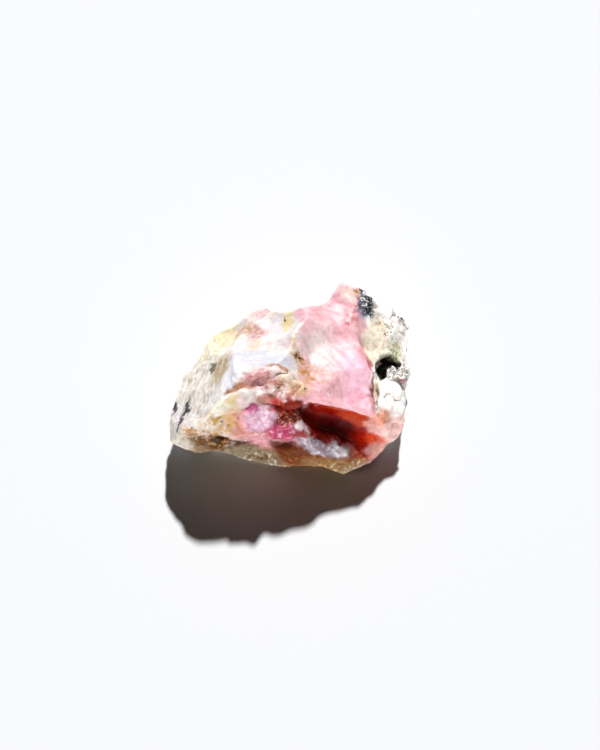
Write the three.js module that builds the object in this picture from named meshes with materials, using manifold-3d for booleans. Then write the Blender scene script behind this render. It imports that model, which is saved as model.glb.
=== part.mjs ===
// Rough pink opal: one broken lump of pink and white opal. It runs into pale host rock at its right-hand end.
// Millimetres, +Z up, +X towards the host rock, -Y towards the broken front.
// The origin is on the face that the stone rests on, under the middle of the stone.

import * as THREE from "three";
import { ConvexGeometry } from "three/addons/geometries/ConvexGeometry.js";
import { TessellateModifier } from "three/addons/modifiers/TessellateModifier.js";
import { ImprovedNoise } from "three/addons/math/ImprovedNoise.js";
import { mergeVertices } from "three/addons/utils/BufferGeometryUtils.js";
import Module from "manifold-3d";

const wasm = await Module();
wasm.setup();
const noise = new ImprovedNoise();

const LENGTH = 50; // from the left tip to the end of the host rock
const FACE_SIZE = 3; // longest triangle edge on the finished stone
const SCAR_FACE = 2.6; // width of the triangles on the scars that are taken out
const ICOSAHEDRON_EDGE = 1.05; // edge of an icosahedron over its radius
const SPLITS = 14; // how many times a long edge may be halved
const MERGE = 1e-4; // points closer than this are one point
const BASE_CUT = 0.8; // how far above the block's underside the resting face is
const FAR = 60; // a size that reaches right out of the stone
const NOISE_SHIFT = 37.3; // keeps the three parts of a random direction unlike each other

// Roughness in layers: how far apart its lumps are, and how far they stand out.
const ROUGHNESS = [
  { size: 9, amount: 1.3 },
  { size: 3.6, amount: 0.6 },
];
const ROCK_ROUGHNESS = { size: 2.2, amount: 0.7 }; // one more layer on the host rock
const ROCK_STARTS = [13, 17]; // along X, where the opal begins to give way and where all is host rock

// The block: its corners, in rows round the stone. The stone is the hull of these points, less its scars.
const CORNERS = {
  whiteRidge: [
    [-24.5, -15, 9],
    [-22, -13.5, 13],
    [-19, -12, 19],
    [-15.5, -9.5, 22.5],
    [-11, -6.5, 24],
    [-5.5, -5, 24],
    [-0.5, -3.5, 22],
  ],
  frontEdge: [
    [-19, -15, 15.5],
    [-14.5, -12.5, 18.5],
    [-10, -11, 20],
    [0, -10, 19],
    [4, -9.5, 19.5],
    [13.5, -9.5, 17],
    [18.5, -10.5, 12],
    [22.5, -9, 6.5],
  ],
  frontRim: [
    [-17.5, -15, 6],
    [-10.5, -15, 3.5],
    [-4, -16, 2.5],
    [3.5, -17.5, 2],
    [10.5, -18, 2],
    [14.5, -16.5, 2],
    [20.5, -12.5, 3.5],
  ],
  leftRim: [
    [-24.5, -7.5, 8],
    [-22.5, 0.5, 8],
    [-18, 9, 6],
    [-14, 13.5, 7],
  ],
  backRim: [
    [-6, 15.3, 9],
    [8, 18.5, 13],
    [10.5, 19.3, 14],
    [14.5, 18.5, 13],
  ],
  rightRim: [
    [21, 15.5, 9],
    [26, 13.5, 6],
    [26, 10.5, 5],
    [24.2, 1.5, 5],
    [23.2, -5, 5.5],
  ],
  shoulder: [
    [13.5, 0, 15.5],
    [14, 9, 15],
  ],
  base: [
    [-15, -12, 0],
    [-4, -14.5, 0],
    [9, -15.5, 0],
    [17, -9, 0],
    [19.5, 3, 0],
    [16, 13, 0],
    [2, 13, 0],
    [-10, 8, 0],
    [-17, -3, 0],
  ],
};

// Dishes: shallow shell-shaped scars. Each is the cap of a ball facing `facing`, and cuts `depth` below `at`.
const DISHES = [
  { name: "saddle in the back edge", at: [0.5, 17, 11], facing: [0, 0.9, 0.42], radius: 10, depth: 3.8 },
  { name: "left face", at: [-19.5, -3, 12], facing: [-0.66, 0.2, 0.73], radius: 34, depth: 1.1 },
  { name: "pink face", at: [7.5, 3, 17.5], facing: [0.3, 0.08, 0.95], radius: 30, depth: 1.6 },
  { name: "peak", at: [8.5, 11.5, 15.5], facing: [0.15, 0.2, 0.97], radius: 14, depth: 0.8 },
  { name: "pink column", at: [12.5, 8, 15.5], facing: [0.3, 0, 0.95], radius: 9, depth: 0.7 },
  { name: "lower pink", at: [12, -4.5, 16], facing: [0.34, -0.1, 0.93], radius: 14, depth: 0.9 },
  { name: "near plateau", at: [-5, 1, 19.5], facing: [-0.2, 0.45, 0.87], radius: 16, depth: 0.7 },
  { name: "far plateau", at: [-3, 9, 14.5], facing: [-0.3, 0.5, 0.81], radius: 13, depth: 0.8 },
  { name: "tan patch", at: [-8.5, 7.5, 13], facing: [-0.3, 0.5, 0.8], radius: 6, depth: 0.8 },
  { name: "far left shoulder", at: [-13, 8, 10.5], facing: [-0.5, 0.6, 0.6], radius: 12, depth: 0.8 },
  { name: "cream facet", at: [17, 8, 12.5], facing: [0.72, 0.03, 0.69], radius: 15, depth: 1.2 },
  { name: "outer right facet", at: [22, 10, 8.5], facing: [0.8, 0.3, 0.5], radius: 12, depth: 0.7 },
  { name: "front left facet", at: [-16, -15, 12], facing: [-0.15, -0.97, 0.15], radius: 16, depth: 0.9 },
  { name: "low front facet", at: [-8, -15.6, 7], facing: [0, -0.97, 0.2], radius: 14, depth: 1.2 },
  { name: "lower right lip", at: [19, -13, 4.5], facing: [0.5, -0.8, 0.3], radius: 10, depth: 0.6 },
  { name: "back left", at: [-11, 13.5, 5], facing: [-0.4, 0.85, -0.2], radius: 12, depth: 1.3 },
  { name: "back right", at: [9, 17, 7], facing: [0.1, 0.98, -0.15], radius: 12, depth: 1.8 },
  { name: "right end", at: [24, 6, 3.5], facing: [0.95, 0.1, -0.2], radius: 9, depth: 1.3 },
  { name: "low left end", at: [-21, -5, 4], facing: [-0.85, 0.1, -0.5], radius: 11, depth: 1.2 },
  { name: "underside front", at: [2, -16, 1.5], facing: [0.1, -0.6, -0.8], radius: 14, depth: 1.2 },
];

// Bowls: deeper hollows, each an ellipsoid with its own turn in degrees.
const BOWLS = [
  { name: "deep hollow", at: [9.5, -14.2, 11.6], radii: [13.5, 6.2, 5.6], turn: [-27, 28, 0] },
  { name: "narrow end of the hollow", at: [0, -12.2, 16.6], radii: [7, 3.6, 3], turn: [-27, 14, 0] },
  { name: "recess under the ridge", at: [-12, -8.4, 21.6], radii: [2.6, 0.8, 0.9], turn: [0, -15, 30] },
  { name: "second recess by the ridge", at: [-1.6, -4.6, 21.2], radii: [2.2, 0.8, 0.8], turn: [0, 15, 10] },
  { name: "pit in the host rock", at: [18.6, 0.4, 11], radii: [1.5, 3.4, 4.2], turn: [10, 0, -20] },
  { name: "far end of the pit", at: [20.4, 3.2, 10.2], radii: [2.6, 1.5, 3.4], turn: [0, 0, -15] },
  { name: "groove along the pink edge", at: [16.8, -5, 13], radii: [0.7, 4.2, 1.6], turn: [0, 0, -6] },
  { name: "crack in the white rock", at: [19.8, -5.8, 10.6], radii: [2.2, 0.5, 1.4], turn: [0, 20, 20] },
  { name: "crack under the pink lumps", at: [-0.5, -15.2, 9.8], radii: [3.2, 1.6, 0.5], turn: [0, -25, 0] },
  { name: "pit low on the left", at: [-13.8, -15.2, 10.8], radii: [1.5, 1.8, 0.9], turn: [0, 0, 0] },
  { name: "second pit low on the left", at: [-9.8, -15.6, 10.2], radii: [1.2, 1.6, 0.8], turn: [0, 0, 0] },
];

// Chips: pieces broken out along flat faces, each the hull of its corners.
const CHIPS = {
  "step under the white ridge": [
    [-13.5, -9, 22.4],
    [-10, -7, 22.9],
    [-5.5, -5.8, 23.0],
    [-0.5, -4.2, 21.3],
    [3, -6.5, 20.3],
    [0, -10.2, 19.0],
    [-10, -11.2, 20.2],
    [-13.5, -9, 27],
    [-10, -7, 27],
    [-5.5, -5.8, 27],
    [-0.5, -4.2, 27],
    [3, -6.5, 27],
    [0, -12, 27],
    [-10, -13, 27],
  ],
};

// Lumps: angular pieces that stand out from the broken faces.
const LUMPS = [
  { name: "upper pink lump", at: [-7.4, -11.8, 15.4], radii: [5, 3.8, 4.6], turn: [10, 20, 15] },
  { name: "lower pink lump", at: [-2.2, -12.8, 12.4], radii: [4.8, 3.2, 3.2], turn: [30, 25, 0] },
  { name: "bright rib by the hollow", at: [1.8, -13, 11.6], radii: [3.6, 1.8, 1.0], turn: [0, 22, 0] },
  { name: "crystal ledge", at: [4.6, -14, 8.6], radii: [4.2, 3.4, 2.0], turn: [-20, 35, 10] },
  { name: "middle of the crystal ledge", at: [7.4, -14.4, 7.2], radii: [3.4, 3.2, 2.0], turn: [20, 20, 50] },
  { name: "end of the crystal ledge", at: [10.2, -14.8, 5.6], radii: [4.0, 3.0, 1.7], turn: [-10, 15, -10] },
  { name: "crumb on the step", at: [-9.5, -8.4, 21.2], radii: [2.0, 1.6, 1.2], turn: [20, 0, 20] },
  { name: "second crumb on the step", at: [-6.6, -8.6, 20.6], radii: [1.6, 1.8, 1.3], turn: [0, 30, -15] },
  { name: "third crumb on the step", at: [-3.6, -7.4, 20.6], radii: [2.2, 1.5, 1.1], turn: [15, 10, 40] },
  { name: "fourth crumb on the step", at: [-0.8, -8.2, 19.4], radii: [1.8, 1.7, 1.2], turn: [40, 0, 10] },
  { name: "white lump", at: [20.2, -3.4, 9.2], radii: [3.2, 2.8, 2.6], turn: [10, 20, 0] },
  { name: "lower white lump", at: [20.2, -7.8, 8.4], radii: [3.0, 2.6, 2.3], turn: [30, 0, 20] },
  { name: "knob by the peak", at: [15.2, 15.2, 12.6], radii: [2.4, 2.0, 1.8], turn: [0, 20, 30] },
  { name: "knob on the far right", at: [21.2, 12, 7.8], radii: [2.8, 2.4, 1.8], turn: [20, 30, 0] },
  { name: "knob right of the pit", at: [22, 0.8, 7], radii: [2.4, 2.8, 2.2], turn: [0, 40, 10] },
];

function solidOf(geometry) {
  const bare = geometry.clone();
  bare.deleteAttribute("normal");
  bare.deleteAttribute("uv");
  const merged = mergeVertices(bare, MERGE);
  return new wasm.Manifold(
    new wasm.Mesh({
      numProp: 3,
      vertProperties: merged.attributes.position.array,
      triVerts: new Uint32Array(merged.index.array),
    }),
  );
}

function geometryOf(solid) {
  const mesh = solid.getMesh();
  const geometry = new THREE.BufferGeometry();
  geometry.setAttribute("position", new THREE.BufferAttribute(mesh.vertProperties, 3));
  geometry.setIndex(new THREE.BufferAttribute(mesh.triVerts, 1));
  return geometry;
}

function hull(corners) {
  return solidOf(new ConvexGeometry(corners.map((corner) => new THREE.Vector3(...corner))));
}

// How finely a ball of these radii is divided so that its triangles are about as wide as SCAR_FACE.
function scarDetail(radii) {
  return Math.max(1, Math.ceil((ICOSAHEDRON_EDGE * Math.max(...radii)) / SCAR_FACE) - 1);
}

function ellipsoid({ at, radii, turn = [0, 0, 0] }, detail = scarDetail(radii)) {
  const geometry = new THREE.IcosahedronGeometry(1, detail);
  const angles = turn.map(THREE.MathUtils.degToRad);
  geometry.scale(...radii);
  geometry.applyMatrix4(new THREE.Matrix4().makeRotationFromEuler(new THREE.Euler(...angles)));
  geometry.translate(...at);
  return solidOf(geometry);
}

function dish({ at, facing, radius, depth }) {
  const outward = new THREE.Vector3(...facing).normalize();
  const centre = new THREE.Vector3(...at).addScaledVector(outward, radius - depth);
  return ellipsoid({ at: centre.toArray(), radii: [radius, radius, radius] });
}

function block() {
  return hull(Object.values(CORNERS).flat());
}

function broken(stone) {
  const cuts = [
    ...DISHES.map(dish),
    ...BOWLS.map((bowl) => ellipsoid(bowl)),
    ...Object.values(CHIPS).map(hull),
  ];
  const lumps = LUMPS.map((lump) => ellipsoid(lump, 0));
  const carved = cuts.reduce((rest, cut) => rest.subtract(cut), stone);
  return lumps.reduce((rest, lump) => rest.add(lump), carved);
}

// How far a point is pushed by one layer of roughness, in a smooth random direction that changes over `size`.
function push(point, { size, amount }) {
  const { x, y, z } = point.clone().divideScalar(size);
  const direction = new THREE.Vector3(
    noise.noise(x, y, z),
    noise.noise(x + NOISE_SHIFT, y, z),
    noise.noise(x, y + NOISE_SHIFT, z),
  );
  return direction.multiplyScalar(amount);
}

function roughened(stone) {
  const fine = mergeVertices(new TessellateModifier(FACE_SIZE, SPLITS).modify(geometryOf(stone)), MERGE);
  const position = fine.attributes.position;
  for (let i = 0; i < position.count; i += 1) {
    const point = new THREE.Vector3().fromBufferAttribute(position, i);
    const moved = ROUGHNESS.reduce((sum, layer) => sum.add(push(point, layer)), point.clone());
    moved.addScaledVector(push(point, ROCK_ROUGHNESS), THREE.MathUtils.smoothstep(point.x, ...ROCK_STARTS));
    position.setXYZ(i, ...moved.toArray());
  }
  return solidOf(fine);
}

function flatUnderneath(stone) {
  const ground = new THREE.BoxGeometry(FAR, FAR, FAR);
  ground.translate(0, 0, BASE_CUT - FAR / 2);
  return stone.subtract(solidOf(ground));
}

// Centres the stone over the origin, stands it on z = 0 and brings it to its length.
function placed(geometry) {
  geometry.computeBoundingBox();
  const { min, max } = geometry.boundingBox;
  const scale = LENGTH / (max.x - min.x);
  geometry.translate(-(min.x + max.x) / 2, -(min.y + max.y) / 2, -min.z);
  geometry.scale(scale, scale, scale);
  return geometry;
}

const opal = new THREE.Mesh(
  placed(geometryOf(flatUnderneath(roughened(broken(block()))))),
  new THREE.MeshStandardMaterial({ color: 0xf0c8cc, roughness: 0.4, metalness: 0 }),
);
opal.name = "pink_opal";

const group = new THREE.Group();
group.add(opal);
export default group;
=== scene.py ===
# %% [markdown]
# # A rough pink opal
# This lesson dresses one broken lump of pink and white opal, fifty millimetres long, that runs into pale
# host rock at its right-hand end. The solid model already gives the block, its deep hollow and its main
# scars. A scan could give the rest, but then nothing could be changed by a number, so the fine fractures
# are made in code on a finer copy of the same solid, and the colours are made with nodes.

import math

import bmesh
import bpy
from mathutils import Euler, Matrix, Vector, noise


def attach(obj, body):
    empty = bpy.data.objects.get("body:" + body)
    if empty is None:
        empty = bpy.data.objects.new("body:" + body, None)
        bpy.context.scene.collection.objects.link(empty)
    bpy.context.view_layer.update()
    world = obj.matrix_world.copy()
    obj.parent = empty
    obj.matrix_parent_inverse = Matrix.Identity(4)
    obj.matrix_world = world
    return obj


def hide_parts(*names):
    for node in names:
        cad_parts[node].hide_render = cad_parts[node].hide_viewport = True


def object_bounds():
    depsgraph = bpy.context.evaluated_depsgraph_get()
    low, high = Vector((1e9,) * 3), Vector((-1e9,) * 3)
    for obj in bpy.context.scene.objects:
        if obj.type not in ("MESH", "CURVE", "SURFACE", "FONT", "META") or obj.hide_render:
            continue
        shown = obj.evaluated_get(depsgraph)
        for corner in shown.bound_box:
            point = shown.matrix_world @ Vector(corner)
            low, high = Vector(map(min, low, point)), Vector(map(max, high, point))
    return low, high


SEED = 4  # the noise would start from the clock otherwise, and no two runs would be alike
MM = 0.001

noise.seed_set(SEED)
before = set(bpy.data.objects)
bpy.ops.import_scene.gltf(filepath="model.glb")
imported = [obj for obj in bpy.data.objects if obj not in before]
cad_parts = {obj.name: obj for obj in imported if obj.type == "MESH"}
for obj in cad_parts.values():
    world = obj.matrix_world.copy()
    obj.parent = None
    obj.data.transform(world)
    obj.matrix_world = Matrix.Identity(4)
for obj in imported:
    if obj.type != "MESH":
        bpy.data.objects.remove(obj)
cad_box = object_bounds()
print("solid model:", [round(side / MM, 2) for side in cad_box[1] - cad_box[0]], "mm")

# %% [markdown]
# ## A copy to work on
# The solid arrives as loose triangles, and a brush or a smoothing would pull them apart. Blender could
# edit the solid itself, but the frame keeps it as the reference for size. So a copy is taken, and the
# points that lie on each other are welded into one skin.

# %% Copy the solid
WELD = 0.001 * MM


def added(name, data):
    """A new object in the scene that shows the data."""
    made = bpy.data.objects.new(name, data)
    bpy.context.scene.collection.objects.link(made)
    return made


def mesh_from(shape, name):
    """A new mesh from a shape that isn't needed any more."""
    mesh = bpy.data.meshes.new(name)
    shape.to_mesh(mesh)
    shape.free()
    return mesh


def merged_copy(source, name):
    """A new object with the source's mesh, its loose triangles joined."""
    shape = bmesh.new()
    shape.from_mesh(source.data)
    bmesh.ops.remove_doubles(shape, verts=shape.verts, dist=WELD)
    return added(name, mesh_from(shape, name))


stone = merged_copy(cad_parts["pink_opal"], "opal_stone")
print("welded points:", len(stone.data.vertices))

# %% [markdown]
# ## An even grid
# Opal has no grain, so it breaks in shell-shaped scars that meet in sharp edges, and every scar carries
# chips down to the size of a sand grain. A subdivision surface would keep the solid's long thin
# triangles. A voxel remesh gives small even faces everywhere instead, which take fine work equally well
# in all directions.

# %% Remesh the copy
VOXEL = 0.29 * MM


def remeshed(piece, voxel):
    """Replaces the piece's mesh by one of even faces."""
    modifier = piece.modifiers.new("even faces", "REMESH")
    modifier.mode = "VOXEL"
    modifier.voxel_size = voxel
    graph = bpy.context.evaluated_depsgraph_get()
    mesh = bpy.data.meshes.new_from_object(piece.evaluated_get(graph))
    piece.modifiers.clear()
    old, piece.data = piece.data, mesh
    bpy.data.meshes.remove(old)
    mesh.name = piece.name


remeshed(stone, VOXEL)
print("even faces:", len(stone.data.polygons))

# %% [markdown]
# ## Places on the stone
# Every form and every colour of this stone belongs to a patch of it: the hollow, the pink face, the left
# face. Vertex groups painted by hand could mark them, but they would be lost when the grid changes. So a
# place is an ellipsoid in millimetres, with its middle, its radii and its turn in degrees, and a soft
# edge of its own.

# %% The weight of a place
LEVEL = (0, 0, 0)  # a place that isn't turned
SLANT = (0, 27, 0)  # how the hollow and the ledge under it fall to the right, in degrees
STONE_MIDDLE = (0, 0, 10)
PINK_FACE = ((9, 4, 15), (8.5, 15, 6))
PINK_LUMPS = ((-4.5, -13.5, 15.5), (7.5, 4, 5.5))
CRYSTAL_LEDGE = ((6.5, -16, 7.5), (9, 3, 3.5))
LEFT_FACE = ((-19, -4, 12), (8, 15, 10))
HOST_ROCK = ((27, 6, 8), (11.4, 36, 30))


def inside(point, middle, radii, turn=LEVEL, soft=0.35):
    """1 well inside an ellipsoid, 0 outside it, and a smooth step between. Millimetres and degrees."""
    away = point - Vector(middle)
    away.rotate(Euler([math.radians(angle) for angle in turn]).to_matrix().inverted())
    reach = Vector([a / r for a, r in zip(away, radii)]).length
    step = min(1, max(0, (1 + soft / 2 - reach) / soft))
    return step * step * (3 - 2 * step)


print("weight of the pink face at its middle:", inside(Vector(PINK_FACE[0]), *PINK_FACE))

# %% [markdown]
# ## Glassy places
# The hollow, the pink face and the magenta lumps broke in one clean stroke, so the solid's coarse
# triangles mustn't show there. A Smooth modifier would round the sharp rims as well. Smoothing only the
# points of chosen places, each with its own number of rounds, rubs those places down and leaves the rest.
# The step is rubbed down the most, because it gets much finer crumbs of its own afterwards.

# %% Rub down the glassy places
GLASSY = [
    # name, middle, radii, turn, rounds of smoothing
    ("hollow", (9.5, -11.5, 9.0), (13.5, 6, 7.5), SLANT, 14),
    ("pink face", *PINK_FACE, LEVEL, 9),
    ("plateau", (-5, 6, 14), (8, 8, 8), LEVEL, 5),
    ("white ridge", (-13, -6, 17), (14, 8, 9), LEVEL, 3),
    ("step under the ridge", (-7, -7.2, 21.5), (8, 2.6, 2.5), (0, 0, 10), 45),
    ("pink lumps", (-4.5, -13.5, 15.5), (7, 4, 5), LEVEL, 2),
    ("cream facet", (17.2, 7, 10.5), (3, 6, 4), LEVEL, 6),
    ("white lumps", (20.6, -5.8, 9.6), (3.4, 3.8, 3.4), LEVEL, 4),
    ("lower right lobe", (20, -11.5, 6), (5, 5, 6), LEVEL, 8),
]


def rub(shape, chosen, rounds):
    """Smooths the chosen points, halfway to their neighbours each round."""
    for _ in range(rounds):
        bmesh.ops.smooth_vert(
            shape, verts=chosen, factor=0.5, use_axis_x=True, use_axis_y=True, use_axis_z=True
        )


shape = bmesh.new()
shape.from_mesh(stone.data)
for name, middle, radii, turn, rounds in GLASSY:
    chosen = [v for v in shape.verts if inside(v.co / MM, middle, radii, turn) > 0.5]
    rub(shape, chosen, rounds)
    print(f"rubbed down {name}: {len(chosen)} points")

# %% [markdown]
# ## Moving the skin
# All the fine work moves the skin in or out along its own normal, by a height in millimetres. A Displace
# modifier does the same with one texture, but here each place has its own. So one helper does each round
# of work: it asks a function for the height at every point first, and only then moves them all.

# %% A helper that moves the skin


def displaced(shape, height_at, work):
    """Moves every point of the shape out by what the function says, in millimetres."""
    shape.normal_update()
    heights = [height_at(v.co / MM) for v in shape.verts]
    for v, height in zip(shape.verts, heights):
        v.co += v.normal * height * MM
    print(f"{work}: from {min(heights):.2f} to {max(heights):.2f} mm")


print("points to work on:", len(shape.verts))

# %% [markdown]
# ## Scars and crumbs
# Where a glassy stone is chipped, every chip leaves a small bowl, and the bowls meet in sharp ridges.
# Where it is grainy, it crumbles into grains with deep seams between them. A smooth noise gives neither.
# The distance to the nearest of many scattered middles gives both: squared, it is a bowl round each
# middle, and upside down, a grain.

# %% Chip the stone
SCARS = [
    # name, middle, radii, turn, size of a bowl, depth: below 0 the bowls become grains
    ("all over", STONE_MIDDLE, (60, 60, 60), LEVEL, 6.5, 0.3),
    ("hidden back and underside", (0, 16, 2), (40, 8, 8), LEVEL, 3.2, 0.5),
    ("left face", (-19, -3, 11), (7, 14, 9), LEVEL, 2.8, 0.25),
    ("white ridge", (-12, -6, 20), (14, 5, 6), LEVEL, 2.6, 0.3),
    ("crumbly step", (-5, -7, 20.5), (9.5, 3.0, 3), (0, 0, 5), 1.9, 0.3),
    ("crumbs of the step", (-5, -7, 20.5), (9.5, 2.8, 3), (0, 0, 5), 0.9, -0.2),
    ("foot of the pink face", (5.5, -4.4, 16.5), (5, 4, 4), LEVEL, 1.5, -0.2),
    ("pink lumps", *PINK_LUMPS, LEVEL, 3.6, 0.8),
    ("facets of the pink lumps", *PINK_LUMPS, LEVEL, 1.6, 0.35),
    ("back of the hollow, left end", (0.5, -10.5, 14), (4, 3, 5), LEVEL, 1.2, -0.3),
    ("crystal ledge", *CRYSTAL_LEDGE, SLANT, 1.9, 0.5),
    ("crystals of the ledge", *CRYSTAL_LEDGE, SLANT, 0.8, 0.25),
    ("front rim", (2, -17.5, 4), (14, 3, 3.5), LEVEL, 1.0, -0.3),
    ("front left band", (-14.5, -15, 8.5), (9.5, 3, 5.5), LEVEL, 1.6, -0.3),
    ("drab foot", (-11, -15.5, 3.6), (12, 4, 3.4), LEVEL, 1.1, -0.3),
    ("front left slope", (-14, -13.5, 16), (6, 3, 5), LEVEL, 2.2, 0.3),
    ("host rock", (27, 6, 8), (11.5, 36, 30), LEVEL, 3.4, 0.8),
    ("grit of the host rock", (27, 6, 8), (11, 36, 30), LEVEL, 1.2, -0.25),
    ("rotten rock by the pit", (21.5, 0.5, 8), (3.5, 4, 5), LEVEL, 0.9, -0.8),
]
SWAY = 0.45  # how far the bowls' borders wander, in shares of their size
MEAN = 0.3  # usual squared distance to the nearest middle


def scar(point, size):
    """Below 0 in the middle of a bowl and above 0 on the ridges between bowls about `size` across."""
    spot = point / size
    spot += SWAY * noise.noise_vector(spot)
    return min(noise.voronoi(spot)[0][0], 1) ** 2 - MEAN


def chipped(point):
    """How far the chips and grains move the skin at a point."""
    return sum(
        depth * weight * scar(point, size)
        for _, middle, radii, turn, size, depth in SCARS
        if (weight := inside(point, middle, radii, turn)) > 0
    )


displaced(shape, chipped, "chips")

# %% [markdown]
# ## Swellings
# Some forms are one of a kind: two magenta lumps that bulge from the front, rubble that fills the
# hollow's left end, lumps of white rock. They could be sculpted with a brush, but a brush stroke can't be
# read or changed later. So each is one row: a place with a very soft edge, and how far it is pushed out,
# or in where the number is below 0.
#
# ## Fibres and ripples
# The white skin on the left splits along its fibres, which all run one way, so its noise is stretched in
# that direction. The pink face has faint ripples round the point where the blow fell, as a shell has.

# %% Push out, split and ripple
SWELLINGS = [
    # name, middle, radii, turn, rise
    ("upper pink lump", (-6.6, -13.2, 16.6), (3.6, 3.4, 3.6), LEVEL, 0.6),
    ("lower pink lump", (-0.9, -14.6, 13.4), (4.4, 3, 2.6), (0, 15, 0), 0.8),
    ("rubble at the hollow's left end", (-1.0, -10.6, 15.6), (3.6, 2.4, 3.2), (0, 25, 0), 1.3),
    ("white lump", (20.2, -4.2, 10.4), (2.2, 1.8, 2.4), LEVEL, 0.5),
    ("lower white lump", (20.8, -7.6, 9.6), (2.4, 1.6, 2.2), LEVEL, 0.5),
    ("dish in the pink face", (6.5, 2.5, 15.2), (4.2, 4.6, 3), LEVEL, -0.25),
    ("filled pocket under the ledge", (-2.2, -5.6, 20.7), (1.9, 1.5, 1.6), LEVEL, 0.6),
]
SWELLING_SOFTNESS = 1.2
FIBRE_RUN = Vector((-0.42, -0.85, 0.3)).normalized()
FIBRE_WIDTH = 0.55
FIBRE_LENGTH = 6.0
FIBRE_HEIGHT = 0.17
BLOW = Vector((-2, -9, 20))
RIPPLE_GAP = 2.3
RIPPLE_HEIGHT = 0.035


def fibres(point):
    """A noise drawn out along the run of the fibres."""
    along = point.dot(FIBRE_RUN)
    across = point - along * FIBRE_RUN
    return noise.noise(across / FIBRE_WIDTH + FIBRE_RUN * along / FIBRE_LENGTH)


def worked(point):
    """How far the swellings, the fibres and the ripples move the skin at a point."""
    height = sum(
        rise * inside(point, middle, radii, turn, SWELLING_SOFTNESS)
        for _, middle, radii, turn, rise in SWELLINGS
    )
    fibrous = inside(point, *LEFT_FACE)
    if fibrous > 0:
        height += fibrous * FIBRE_HEIGHT * fibres(point)
    rippled = inside(point, *PINK_FACE)
    if rippled > 0:
        height += rippled * RIPPLE_HEIGHT * math.sin(math.tau * (point - BLOW).length / RIPPLE_GAP)
    return height


displaced(shape, worked, "hand work")

# %% [markdown]
# ## Cracks
# A crack is a line and not a cloud. It could be cut with a knife tool, but a cut has sharp even lips, and
# a real crack wanders. So each one is a path of a few points near the skin. What lies close to the path
# is pressed in, and how close it lies is kept with the mesh as an attribute, so that the finish can
# darken just the crack.

# %% How near a point is to a path
CRACK_REACH = 3  # the outermost influence of a crack, in widths


def nearness(point, path, width):
    """1 on the path and 0 at the end of the crack's reach."""
    distances = []
    for start, end in zip(path, path[1:]):
        start, end = Vector(start), Vector(end)
        share = min(1, max(0, (point - start).dot(end - start) / (end - start).length_squared))
        distances.append((point - start - share * (end - start)).length)
    return max(0, 1 - min(distances) / (CRACK_REACH * width)) ** 2


print("half a width off the path:", round(nearness(Vector((0, 0.5, 0)), [(-1, 0, 0), (1, 0, 0)], 1), 2))

# %% Press the cracks in
CRACKS = [
    # name, width, depth, darkness, path
    ("under the pink lumps", 0.35, 0.5, 0.7, [(2.6, -14.2, 12.2), (0.6, -15.6, 10.4), (-1.8, -16.2, 9.2)]),
    ("between the pink lumps", 0.3, 0.35, 0.5, [(-5.4, -15.2, 14), (-3.6, -14.2, 15.4), (-2.4, -12.4, 16.4)]),
    ("white rock", 0.25, 0.35, 0.55,
     [(17.9, -7.4, 11.6), (18.8, -5.9, 11.8), (20.4, -5.5, 11.6), (21.6, -6, 11)]),
    ("edge of the pink", 0.4, 0.5, 0.8,
     [(16.7, -1.5, 12.8), (16.3, -5, 13.2), (16.6, -8, 12.8), (17.2, -10.4, 11.6)]),
    ("plateau", 0.25, 0.15, 0.15, [(-6.6, 7.8, 12.6), (-3.6, 7.4, 14), (-1.2, 7.2, 15.2)]),
    # this crack also darkens the recess under the ridge a little, a painted shade
    ("recess", 0.3, 0.15, 0.2, [(-13.6, -9, 20.6), (-10.4, -8.6, 21.4), (-7.6, -8, 21.6)]),
]
WANDER = 0.5  # how far a crack strays from its path, in millimetres
WANDER_SIZE = 1.1

shape.normal_update()
dark = shape.verts.layers.float.new("crack")
for name, width, depth, darkness, path in CRACKS:
    touched = 0
    for v in shape.verts:
        point = v.co / MM
        point += WANDER * noise.noise_vector(point / WANDER_SIZE)
        near = nearness(point, path, width)
        if near > 0:
            v[dark] = max(v[dark], darkness * near)
            v.co -= v.normal * depth * near * MM
            touched += 1
    print(f"crack {name}: {touched} points")

# %% [markdown]
# ## The resting face
# The chips and grains swell the underside too, so the stone would sink into whatever it lies on. The mesh
# could be lifted as a whole, but then it would no longer sit where the solid does. A real lump rests on
# its lowest points, so all that went below the resting plane is put back on it.

# %% Flatten the resting face
sunk = [v for v in shape.verts if v.co.z < 0]
for v in sunk:
    v.co.z = 0
print("points put back on the resting plane:", len(sunk))

# %% [markdown]
# ## Where the skin stands out
# Thin edges of opal let light through and look pale, and the dips lie in shade. Both are painted into the
# colour, as a painted glow on the edges and painted shade in the dips. The finish could find both while it
# renders, but the exported model would lose that. So each point notes how far it stands above its
# smoothed surroundings, and a copy is rubbed down for the comparison.

# %% Measure the relief
RELIEF_ROUNDS = 12
RELIEF_FULL = 0.12  # millimetres above or below the surroundings that count as a full edge or dip

relief = shape.verts.layers.float.new("relief")
shape.normal_update()
smooth = shape.copy()
rub(smooth, smooth.verts, RELIEF_ROUNDS)
for v, flat in zip(shape.verts, smooth.verts):
    rise = (v.co - flat.co).dot(v.normal) / MM / RELIEF_FULL
    v[relief] = 0.5 + 0.5 * min(1, max(-1, rise))
smooth.free()
raised = sum(v[relief] > 0.5 for v in shape.verts)
print("share of the points that stand out:", round(raised / len(shape.verts), 2))

# %% [markdown]
# ## The finished mesh
# The stone is one lump that nothing joins or moves, so the fine skin simply takes the solid's place and
# rides on the same body. Its faces are shaded smoothly, because the small ones can't be told apart and
# the sharp edges between the scars are real geometry.

# %% Put the mesh in the solid's place
shape.to_mesh(stone.data)
shape.free()
stone.data.polygons.foreach_set("use_smooth", [True] * len(stone.data.polygons))
stone.data.update()
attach(stone, "root")
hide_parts("pink_opal")
print("finished stone:", len(stone.data.polygons), "faces")

# %% [markdown]
# ## Tools for a finish
# A material is a net of nodes, and this one has several hundred of them, far too many to place by hand.
# Short helpers do the wiring: one turns a colour from hex digits into linear light, one makes any node
# and wires it, three make the kinds that are needed most, and one makes an empty node group.

# %% Helpers for nodes


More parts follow.
